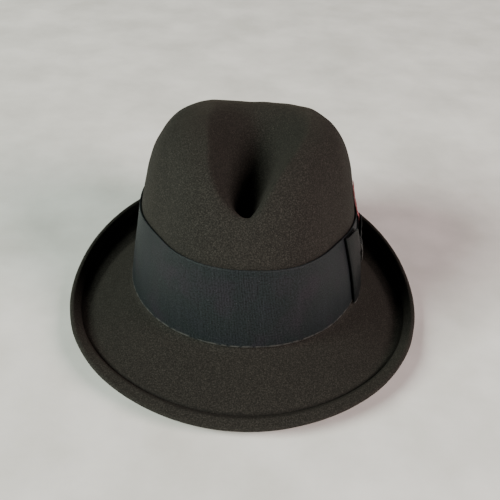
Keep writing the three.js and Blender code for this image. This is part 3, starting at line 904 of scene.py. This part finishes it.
def add_strand(points, faces, line, radii, sides):
    """Adds a thin round strand along a line of points to a mesh's points and faces."""
    first = len(points)
    tangents = unit(np.gradient(line, axis=0))
    across = unit(np.cross(tangents, strand_turn))
    up = np.cross(tangents, across)
    for spot, one, two, radius in zip(line, across, up, radii):
        for k in range(sides):
            turn = 2 * math.pi * k / sides
            points.append(spot + radius * (one * math.cos(turn) + two * math.sin(turn)))
    for i in range(len(line) - 1):
        for k in range(sides):
            a = first + i * sides + k
            b = first + i * sides + (k + 1) % sides
            faces.append([a, b, b + sides, a + sides])
    faces.append([first + k for k in range(sides)][::-1])
    faces.append([first + (len(line) - 1) * sides + k for k in range(sides)])


def feather():
    points, faces = [], []
    rise = np.linspace(0, shaft_end, shaft_points)
    shaft = vane_point(rise, 0 * rise, 0 * rise)
    add_strand(points, faces, shaft, mix(*shaft_radii, rise), shaft_sides)
    draws = np.random.default_rng(draws_seed)
    t = np.linspace(0, 1, barb_points)
    for side in (-1, 1):
        for i in range(barbs):
            root = first_barb + barbs_span * i / barbs
            half = feather_width / 2 * from_table(vane, "rise", "half", min(root + barb_ahead, 1.0))
            lock = 1 - lock_depth * abs(math.sin(root * locks * math.pi + side)) * draws.random()
            reach = half * lock * (1 - ragged + ragged * draws.random())
            slope = barb_climb + climb_change * draws.random()
            climb = root + slope * t**climb_power * (reach / (feather_width / 2))
            spread = side * reach * np.sin(t * math.pi / 2)
            lift = barb_lift * draws.standard_normal() * t
            barb = vane_point(np.minimum(climb, highest), spread, lift)
            add_strand(points, faces, barb, mix(*barb_radii, t), barb_sides)
    placed = on_table(np.array(points))
    mesh_piece("feather_hackle", placed, faces, "feather", feather_dye)


feather()

# Camera, at the photo's angle to the hat's own frame
camera_elevation = math.radians(28)
camera_roll = math.radians(3.2)
camera_target = Vector((0, 0, 40))
camera_distance = 600.0
picture_scale = 1.355
picture_side = 500
aim_x, aim_y = 245.9, 223.4


def place_camera():
    focal = picture_scale * camera_distance
    back = Vector((0, -math.cos(camera_elevation), math.sin(camera_elevation)))
    forward = -back
    right = forward.cross(Vector((0, 0, 1))).normalized()
    up = right.cross(forward)
    pan = Matrix.Rotation(math.atan2(aim_x - picture_side / 2, focal), 3, up)
    forward, right = pan @ forward, pan @ right
    tilt = Matrix.Rotation(math.atan2(aim_y - picture_side / 2, focal), 3, right)
    forward, up = tilt @ forward, tilt @ up
    turned_right = right * math.cos(camera_roll) + up * math.sin(camera_roll)
    turned_up = up * math.cos(camera_roll) - right * math.sin(camera_roll)
    lean = Matrix.Rotation(math.radians(rest_lean), 3, "X")
    axes = [lean @ v for v in (turned_right, turned_up, -forward)]
    place = lean @ (camera_target + back * camera_distance) + Vector(rest_shift)
    camera = bpy.data.objects.new("camera", bpy.data.cameras.new("camera"))
    bpy.context.scene.collection.objects.link(camera)
    matrix = Matrix(axes).transposed().to_4x4()
    matrix.translation = place / 1000
    camera.matrix_world = matrix
    camera.data.sensor_width = 36
    camera.data.lens = focal / picture_side * camera.data.sensor_width
    camera.data.clip_start = 0.05
    camera.data.clip_end = 50
    bpy.context.scene.camera = camera


place_camera()


# Studio: two soft lamps and a wide pale floor, in metres, with the brightness of the air round them
lamp_size = 2.25
lamp_aim = Vector((0, 0, 0.07))
air_tint = "dfe1e4"
air_strength = 0.035
floor_half = 30.0
paper_patch = 70


def add_lamp(name, place, power, tint):
    lamp = bpy.data.lights.new(name, "AREA")
    lamp.shape = "DISK"
    lamp.size = lamp_size
    lamp.energy = power
    lamp.color = colour(tint)[:3]
    light = bpy.data.objects.new(name, lamp)
    light.location = place
    aim = lamp_aim - Vector(place)
    light.rotation_euler = aim.to_track_quat("-Z", "Y").to_euler()
    bpy.context.scene.collection.objects.link(light)


def floor_paper():
    """Heavy uncoated paper: pale and matt, with a faint mottle of its pulp."""
    material = new_material("paper")
    place = add(material, "ShaderNodeTexCoord").outputs["Object"]
    at = add(material, "ShaderNodeMapping", {"vector_type": "POINT"}, {
        "Vector": place, "Scale": metres_to_mm}).outputs["Vector"]
    pulp = add(material, "ShaderNodeTexNoise", None, {
        "Vector": at, "Scale": 1 / paper_patch, "Detail": 5.0, "Roughness": 0.55}).outputs["Fac"]
    tone = add(material, "ShaderNodeValToRGB", {
        "stops": [(0.33, "e6e6e2"), (0.67, "fefefc")]}, {"Fac": pulp}).outputs["Color"]
    shader = add(material, "ShaderNodeBsdfPrincipled", None, {"Base Color": tone, "Roughness": 0.9})
    add(material, "ShaderNodeOutputMaterial", None, {"Surface": shader.outputs["BSDF"]})
    return material


def studio():
    add_lamp("left", (-3.25, -1.75, 2.145), 281, "f6fff2")
    add_lamp("right", (3.25, -1.75, 2.02), 212, "ffe9e4")
    world = bpy.data.worlds.new("studio")
    world.use_nodes = True
    air = world.node_tree.nodes["Background"].inputs
    air["Color"].default_value = colour(air_tint)
    air["Strength"].default_value = air_strength
    bpy.context.scene.world = world
    mesh = bpy.data.meshes.new("floor")
    corners = [(floor_half * x, floor_half * y, 0) for x, y in ((-1, -1), (1, -1), (1, 1), (-1, 1))]
    mesh.from_pydata(corners, [], [(0, 1, 2, 3)])
    mesh.materials.append(floor_paper())
    floor = bpy.data.objects.new("floor", mesh)
    bpy.context.scene.collection.objects.link(floor)


studio()
